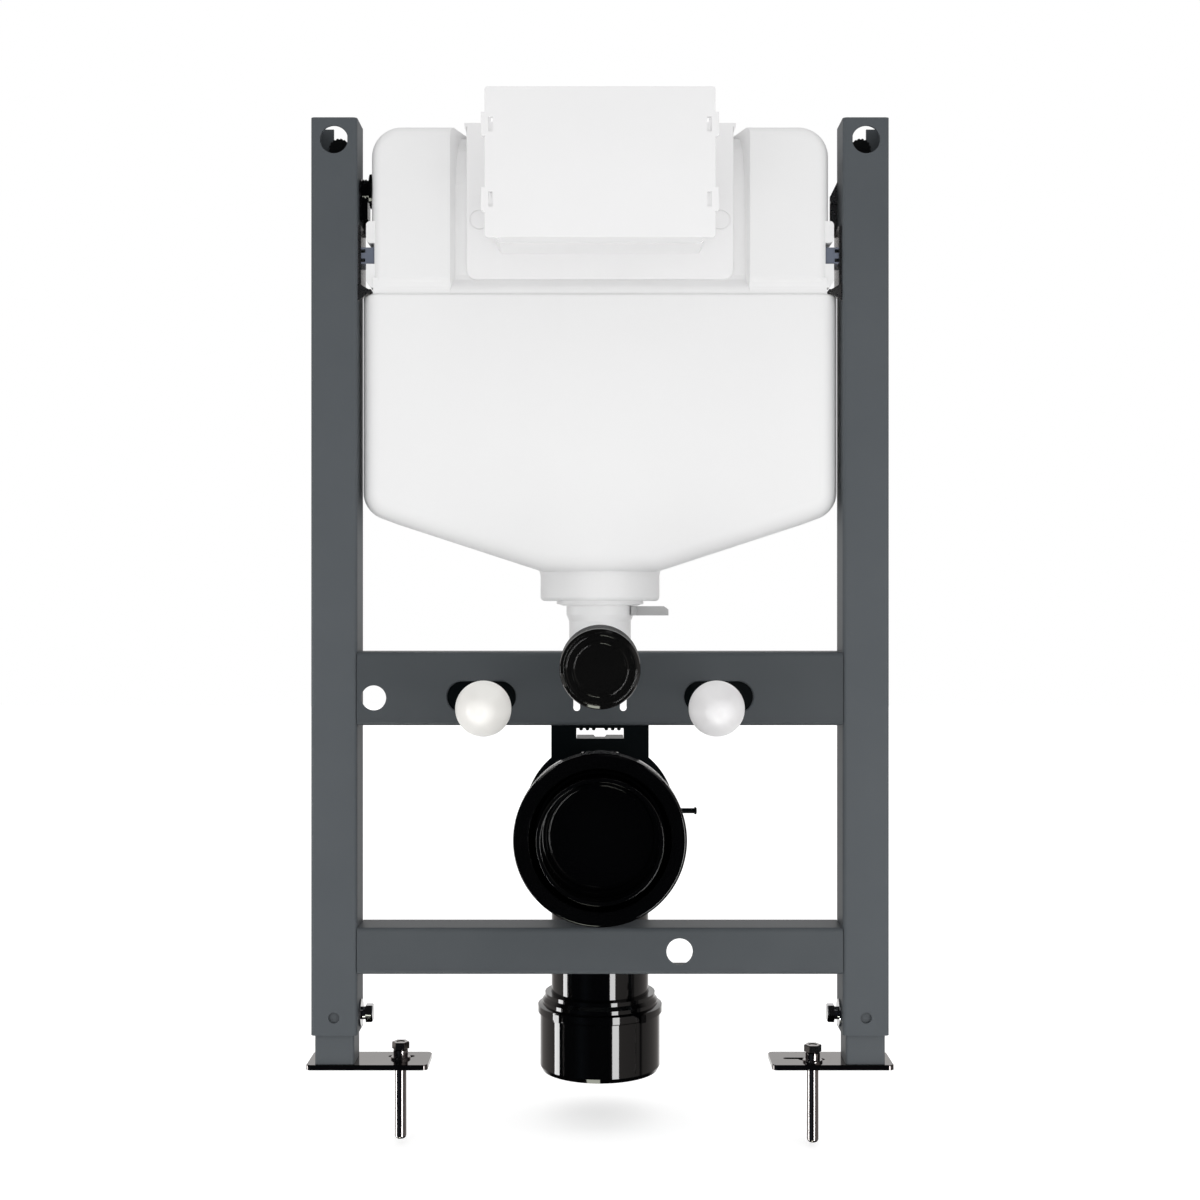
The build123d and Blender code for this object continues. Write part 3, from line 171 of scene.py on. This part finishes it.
navy_steel = finish("dark_coated_steel", (0.0009, 0.0022, 0.0028), (0.0014, 0.0030, 0.0038),
                    (0.3, 0.4), grain=700.0, specular=0.1)
clip_plastic = finish("clip_blue_grey", (0.13, 0.15, 0.20), (0.17, 0.19, 0.245), (0.4, 0.5))
cone_warm = finish("cone_warm_white", (0.87, 0.855, 0.82), (0.90, 0.885, 0.85), (0.3, 0.4))
# Painted shade: the right cone is a neutral white, painted darker than the left cone to stand for the
# shade on it.
cone_painted_shade = finish("cone_neutral_white_painted_shade", (0.79, 0.78, 0.785), (0.82, 0.81, 0.815), (0.3, 0.4))
black_nut = finish("black_serrated_nut", (0.003, 0.003, 0.004), (0.006, 0.006, 0.007),
                   (0.3, 0.45), grain=500.0)

FINISHES = {
    "left_post": post_paint, "right_post": post_paint,
    "upper_crossbar": bar_paint_painted_shade, "lower_crossbar": low_bar_paint_painted_shade,
    "left_leg_tube": leg_paint, "right_leg_tube": leg_paint,
    "left_wall_nut": black_nut, "right_wall_nut": black_nut,
    "left_clamp_bolt": chrome_steel, "right_clamp_bolt": chrome_steel,
    "left_stud_plate": navy_steel, "right_stud_plate": navy_steel,
    "left_stud": chrome_steel, "right_stud": chrome_steel,
    "left_stud_cone": cone_warm, "right_stud_cone": cone_painted_shade,
    "cistern_tank": tank_plastic, "access_plate": cover_plastic,
    "access_box": cover_plastic, "access_cover": cover_plastic,
    "left_tank_bracket": bracket_zinc, "right_tank_bracket": bracket_zinc,
    "left_tank_clip": clip_plastic, "right_tank_clip": clip_plastic,
    "inlet_valve": gloss_black, "flush_collar": pipe_plastic_painted_light,
    "flush_clip": grey_clip, "flush_bend": pipe_plastic_painted_light,
    "flush_cap": gloss_black, "soil_bend": gloss_black,
    "soil_socket": gloss_black, "soil_cap": gloss_black,
    "soil_adaptor": gloss_black, "soil_bracket": navy_steel,
    "soil_clamp_pin": navy_steel,
    "left_foot_plate": zinc_plate, "right_foot_plate": zinc_plate,
    "left_anchor_screw": anchor_zinc, "right_anchor_screw": anchor_zinc,
    "left_floor_plug": anchor_zinc, "right_floor_plug": anchor_zinc,
}
for node_name, mat in FINISHES.items():
    if node_name in nodes:
        mesh = nodes[node_name].data
        mesh.materials.clear()
        mesh.materials.append(mat)


def add_object(name, data):
    """A new object in the scene for a mesh, a lamp or a camera."""
    obj = bpy.data.objects.new(name, data)
    bpy.context.scene.collection.objects.link(obj)
    return obj


# Turned mouldings that stand for plainer solids

def soft_profile(corners, trim, steps=4):
    """A profile of straight runs whose corners are rounded.

    A corner C, with unit directions u and v towards its neighbours, becomes the curve
    (1 - t)^2 (C + trim u) + 2 t (1 - t) C + t^2 (C + trim v). Each run keeps one more point
    beside the curve, so that flat faces shade flat. No trim is over 0.4 of its run.
    """
    largest_share = 0.4
    beside = 1.2
    corners = np.asarray(corners, dtype=float)
    corner = corners[1:-1]
    to_last = corners[:-2] - corner
    to_next = corners[2:] - corner
    last_run = np.linalg.norm(to_last, axis=1, keepdims=True)
    next_run = np.linalg.norm(to_next, axis=1, keepdims=True)
    cut_last = np.minimum(trim, largest_share * last_run) / last_run
    cut_next = np.minimum(trim, largest_share * next_run) / next_run
    start = (corner + to_last * cut_last)[:, None, :]
    end = (corner + to_next * cut_next)[:, None, :]
    t = np.linspace(0.0, 1.0, steps + 1)[None, :, None]
    curve = (1 - t) ** 2 * start + 2 * t * (1 - t) * corner[:, None, :] + t ** 2 * end
    before = (corner + to_last * cut_last * beside)[:, None, :]
    after = (corner + to_next * cut_next * beside)[:, None, :]
    rounded = np.concatenate([before, curve, after], axis=1).reshape(-1, 2)
    return np.concatenate([corners[:1], rounded, corners[-1:]])


def turned(name, profile, axis_z, mat, turns, sleeve=None):
    """A closed surface turned about a line along Y, on the frame's centre line at height axis_z.

    Profile point (r, y) at angle a lies at (MID_X + r cos a, y, axis_z + r sin a). The first and
    last points have r = 0 and close the piece as poles. sleeve is (material, y) for what is
    behind y.
    """
    rings = profile[1:-1]
    angle = np.linspace(0.0, 2 * np.pi, turns, endpoint=False)
    x = MID_X + rings[:, :1] * np.cos(angle)
    y = np.repeat(rings[:, 1:], turns, axis=1)
    z = axis_z + rings[:, :1] * np.sin(angle)
    ring_points = np.stack([x, y, z], axis=2).reshape(-1, 3)
    poles = np.array([[MID_X, profile[0, 1], axis_z], [MID_X, profile[-1, 1], axis_z]])
    points = np.concatenate([ring_points, poles])
    here = np.arange(turns)
    after = (here + 1) % turns
    row = np.arange(len(rings) - 1)[:, None] * turns
    quads = np.stack([row + here, row + turns + here, row + turns + after, row + after], axis=2)
    front_pole = len(ring_points)
    last = (len(rings) - 1) * turns
    front = np.stack([np.full(turns, front_pole), here, after], axis=1)
    back = np.stack([last + here, np.full(turns, front_pole + 1), last + after], axis=1)
    faces = quads.reshape(-1, 4).tolist() + front.tolist() + back.tolist()
    mesh = bpy.data.meshes.new(name)
    mesh.from_pydata(points.tolist(), [], faces)
    mesh.polygons.foreach_set("use_smooth", np.ones(len(faces), dtype=bool))
    mesh.update()
    mesh.materials.append(mat)
    if sleeve:
        mesh.materials.append(sleeve[0])
        behind = np.repeat(rings[:-1, 1] >= sleeve[1], turns)
        slots = np.concatenate([behind, np.zeros(turns, dtype=bool), np.ones(turns, dtype=bool)])
        mesh.polygons.foreach_set("material_index", slots.astype(np.int32))
    obj = add_object(name, mesh)
    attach(obj, "frame")
    return obj


def millimetres(points):
    """(r, depth behind the posts' front) in millimetres to (r, y) in metres."""
    points = np.asarray(points, dtype=float) / 1000.0
    points[:, 1] += FRONT_Y
    return points


def flush_cap_moulding():
    """Cap on the flush bend: two low ridges round a flat disc, a round rim and a widening sleeve."""
    corners = millimetres([
        (0, -152.8), (19.7, -152.8), (20.0, -153.5), (21.7, -153.5), (22.0, -152.8), (25.8, -152.8),
        (26.1, -153.6), (28.0, -153.6), (28.3, -153.0), (28.6, -153.2), (30.9, -151.6), (31.5, -149.6),
        (31.7, -140.0), (32.9, -64.0), (32.9, -60.0), (28.6, -58.0), (0, -58.0)])
    rim_end = FRONT_Y - 0.1497
    piece = turned("flush_cap_moulding", soft_profile(corners, 0.0003), FLUSH_Z, cap_black, 160,
                   sleeve=(sleeve_black, rim_end))
    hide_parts("flush_cap")


def soil_socket_moulding():
    """Pan socket: outer wall with shallow ridges, a flat mouth and a funnel inside it."""
    corners = millimetres([
        (0, -119.0), (51.4, -119.0), (52.0, -121.0), (55.6, -150.0), (55.9, -150.05), (66.0, -150.4),
        (67.5, -149.2), (67.5, -146.5), (66.9, -146.0), (66.9, -143.5), (67.5, -143.0), (67.5, -140.5),
        (66.9, -140.0), (66.9, -137.5), (67.5, -137.0), (67.5, -134.5), (66.9, -134.0), (66.9, -131.5),
        (67.5, -131.0), (67.5, -128.5), (66.8, -128.0), (66.8, -113.0), (66.0, -112.2), (0, -112.2)])
    piece = turned("soil_socket_moulding", soft_profile(corners, 0.0005), SOIL_Z, gloss_black, 200)
    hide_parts("soil_socket")


def soil_cap_moulding():
    """Cap in the pan socket: a ridged collar that stands forward, a deep dish and a ridged disc."""
    corners = millimetres([
        (0, -126.0), (39.8, -126.0), (40.1, -126.9), (42.3, -126.9), (42.5, -126.0), (45.3, -126.0),
        (45.9, -157.0), (46.1, -159.4), (49.0, -159.6), (49.5, -158.6), (49.9, -121.0),
        (49.9, -118.6), (0, -118.6)])
    piece = turned("soil_cap_moulding", soft_profile(corners, 0.00028), SOIL_Z, gloss_black, 200)
    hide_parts("soil_cap")


# Webs that fill the tank's groove and recess

def moulded_web(name, left, right, heights, depths, back, rows=48):
    """A closed white web between x = left and right, all in millimetres.

    Row k lies at height z_k. Its front edge lies at the depth that a straight run through the
    given heights and depths has there, its rear edge at the depth back.
    """
    height = np.linspace(heights[0], heights[-1], rows)
    front = np.interp(height, heights, depths)
    rear = np.full(rows, back)
    x = np.tile([left, right, right, left], (rows, 1))
    y = np.stack([front, front, rear, rear], axis=1)
    z = np.repeat(height[:, None], 4, axis=1)
    points = np.stack([x, y, z], axis=2).reshape(-1, 3) / 1000.0
    points[:, 1] += FRONT_Y
    row = np.arange(rows - 1)[:, None] * 4
    corner = np.arange(4)
    after = (corner + 1) % 4
    sides = np.stack([row + corner, row + after, row + 4 + after, row + 4 + corner], axis=2)
    top = (rows - 1) * 4 + corner
    faces = sides.reshape(-1, 4).tolist() + [corner[::-1].tolist(), top.tolist()]
    mesh = bpy.data.meshes.new(name)
    mesh.from_pydata(points.tolist(), [], faces)
    mesh.update()
    mesh.materials.append(tank_plastic)
    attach(add_object(name, mesh), "frame")


def cistern_webs():
    """Seam above the tank's lower body, and sill and cheeks round its chamber front."""
    mid = MID_X * 1000.0
    seam_back = 12.0
    recess_back = 38.0
    seam_z = [672.2, 674.0, 676.0, 678.5, 681.0, 683.5, 686.0]
    seam_depth = [5.0, 5.8, 6.0, 5.9, 5.3, 4.7, 4.35]
    sill_z = seam_z + [690.0, 696.0]
    sill_depth = [5.0, 5.8, 6.2, 7.2, 9.0, 11.4, 13.6, 14.8, 15.0]
    cheek_z = [695.0, 770.0, 800.0, 812.0]
    cheek_depth = [15.0, 15.5, 20.0, 27.0]
    moulded_web("left_seam_web", mid - 197.0, mid - 129.9, seam_z, seam_depth, seam_back)
    moulded_web("right_seam_web", mid + 129.9, mid + 197.0, seam_z, seam_depth, seam_back)
    moulded_web("recess_sill", mid - 129.8, mid + 129.8, sill_z, sill_depth, recess_back)
    moulded_web("left_cheek_web", mid - 127.4, mid - 116.6, cheek_z, cheek_depth, recess_back)
    moulded_web("right_cheek_web", mid + 116.6, mid + 127.4, cheek_z, cheek_depth, recess_back)


flush_cap_moulding()
soil_socket_moulding()
soil_cap_moulding()
cistern_webs()


# Floor, light and camera

def stage_floor():
    """A wide pale floor under the anchors: white to the camera, keeping only soft shadows."""
    mesh = bpy.data.meshes.new("floor")
    corners = [(x * FLOOR_HALF, y * FLOOR_HALF, FLOOR_Z) for x, y in ((-1, -1), (1, -1), (1, 1), (-1, 1))]
    mesh.from_pydata(corners, [], [(0, 1, 2, 3)])
    obj = add_object("floor", mesh)
    mat = bpy.data.materials.new("pale_floor")
    mat.use_nodes = True
    tree = mat.node_tree
    shader = tree.nodes["Principled BSDF"]
    shader.inputs["Base Color"].default_value = (0.9, 0.9, 0.9, 1.0)
    shader.inputs["Roughness"].default_value = 0.9
    shader.inputs["Specular IOR Level"].default_value = 0.0
    path = tree.nodes.new("ShaderNodeLightPath")
    glow = tree.nodes.new("ShaderNodeEmission")
    tree.links.new(product(tree, path.outputs["Is Camera Ray"], FLOOR_GLOW), glow.inputs["Strength"])
    add = tree.nodes.new("ShaderNodeAddShader")
    tree.links.new(shader.outputs["BSDF"], add.inputs[0])
    tree.links.new(glow.outputs["Emission"], add.inputs[1])
    tree.links.new(add.outputs["Shader"], tree.nodes["Material Output"].inputs["Surface"])
    mesh.materials.append(mat)
    obj.visible_glossy = False


def room_direction(tree, direction):
    """Place round the object and height of a direction in the world.

    The place runs from 0 to 1: 0.5 is in front, 0.25 to the left and 0.75 to the right. The
    height runs from -1, straight down, to 1, straight up.
    """
    split = tree.nodes.new("ShaderNodeSeparateXYZ")
    tree.links.new(direction, split.inputs["Vector"])
    turn = tree.nodes.new("ShaderNodeMath")
    turn.operation = "ARCTAN2"
    tree.links.new(split.outputs["X"], turn.inputs[0])
    tree.links.new(product(tree, split.outputs["Y"], -1.0), turn.inputs[1])
    return remap(tree, turn.outputs["Value"], -math.pi, math.pi), split.outputs["Z"]


def band(tree, value, low, high, fade):
    """1 where value lies between low and high, falling to 0 over fade outside."""
    rise = remap(tree, value, low - fade, low)
    fall = remap(tree, value, high + fade, high)
    return product(tree, rise, fall)


def layer(tree, mask, under, over):
    """Colour over where mask is 1, under elsewhere; both may be sockets or colours."""
    mix = tree.nodes.new("ShaderNodeMix")
    mix.data_type = "RGBA"
    tree.links.new(mask, mix.inputs["Factor"])
    for slot, value in (("A", under), ("B", over)):
        if isinstance(value, tuple):
            mix.inputs[slot].default_value = (*value, 1.0)
        else:
            tree.links.new(value, mix.inputs[slot])
    return mix.outputs["Result"]


def choose(tree, mask, under, over):
    """Shader over where mask is 1, under elsewhere."""
    mix = tree.nodes.new("ShaderNodeMixShader")
    tree.links.new(mask, mix.inputs["Fac"])
    tree.links.new(under, mix.inputs[1])
    tree.links.new(over, mix.inputs[2])
    return mix.outputs["Shader"]


def white_background(tree, strength):
    """A white world shader of the given strength."""
    node = tree.nodes.new("ShaderNodeBackground")
    node.inputs["Color"].default_value = (1.0, 1.0, 1.0, 1.0)
    node.inputs["Strength"].default_value = strength
    return node.outputs["Background"]


def studio_world():
    """White to the camera, soft light on matt surfaces; in gloss, a dark room with paler walls behind."""
    world = bpy.data.worlds.new("studio")
    bpy.context.scene.world = world
    world.use_nodes = True
    tree = world.node_tree
    tree.nodes.clear()
    coords = tree.nodes.new("ShaderNodeTexCoord")
    place, height = room_direction(tree, coords.outputs["Generated"])
    room = (0.014, 0.016, 0.020)
    cool = (0.045, 0.056, 0.068)
    warm = (0.46, 0.43, 0.415)
    pale = (1.0, 0.99, 0.98)
    dim = (0.33, 0.31, 0.30)
    dark = (0.02, 0.02, 0.025)
    above_and_below = (0.012, 0.012, 0.013)
    window_light = (7.0, 7.2, 6.2)
    walls = ramp(tree, place, [
        (0.0, pale), (0.05, pale), (0.10, warm), (0.235, warm), (0.245, room), (0.36, room),
        (0.40, cool), (0.45, room), (0.55, room), (0.605, warm), (0.72, dim), (0.735, dark),
        (0.75, dim), (0.90, warm), (0.95, pale), (1.0, pale)])
    around = layer(tree, band(tree, height, -0.45, 0.45, 0.15), above_and_below, walls)
    window = product(tree, band(tree, place, 0.38, 0.49, 0.01), band(tree, height, -0.96, -0.82, 0.01))
    gloss = tree.nodes.new("ShaderNodeBackground")
    tree.links.new(layer(tree, window, around, window_light), gloss.inputs["Color"])
    path = tree.nodes.new("ShaderNodeLightPath")
    soft = white_background(tree, SOFT_LIGHT)
    unseen = choose(tree, path.outputs["Is Glossy Ray"], soft, gloss.outputs["Background"])
    shown = choose(tree, path.outputs["Is Camera Ray"], unseen, white_background(tree, 1.0))
    out = tree.nodes.new("ShaderNodeOutputWorld")
    tree.links.new(shown, out.inputs["Surface"])


def lamp(name, place, aim, size, power, height=None):
    """An area lamp at place, turned towards aim; height makes it a rectangle."""
    data = bpy.data.lights.new(name, "AREA")
    data.size = size
    if height is not None:
        data.shape = "RECTANGLE"
        data.size_y = height
    data.energy = power
    obj = add_object(name, data)
    obj.location = place
    dx, dy, dz = (a - b for a, b in zip(aim, place))
    obj.rotation_euler = (math.atan2(math.hypot(dx, dy), -dz), 0.0, math.atan2(-dx, dy))
    obj.visible_camera = False
    return obj


def studio_lamps():
    """A soft key, a wide front lamp, two low fills, and two upright strips that only gloss shows."""
    lamp("key", (MID_X + 0.42, -1.35, 2.3), (MID_X, 0.0, 0.45), 0.8, 0.6)
    front = lamp("front", (MID_X + 0.3, -3.3, 0.5), (MID_X, 0.0, 0.4), 2.4, 1.5, 1.8)
    front.visible_glossy = False
    for side, name in ((-1, "left_fill"), (1, "right_fill")):
        fill = lamp(name, (MID_X + side * 0.42, -0.62, 0.10), (MID_X, 0.08, 0.44), 0.5, 1.1, 0.4)
        fill.visible_glossy = False
    left = lamp("left_strip", (MID_X - 2.0, 0.07, -0.85), (MID_X, 0.07, -0.85), 0.45, 47.0, 2.5)
    right = lamp("right_strip", (MID_X + 1.15, -1.95, -1.0), (MID_X, 0.07, -1.0), 0.52, 58.0, 2.5)
    for strip in (left, right):
        strip.visible_diffuse = False


def camera():
    """Level camera in front of the frame's centre line."""
    data = bpy.data.cameras.new("camera")
    data.lens = 50.0
    data.sensor_width = 36.0
    data.clip_start = 0.05
    obj = add_object("camera", data)
    obj.location = (MID_X, FRONT_Y - CAMERA_BACK, CAMERA_Z)
    obj.rotation_euler = (math.radians(90.0), 0.0, 0.0)
    bpy.context.scene.camera = obj


stage_floor()
studio_world()
studio_lamps()
camera()
bpy.context.scene.view_settings.view_transform = "Standard"
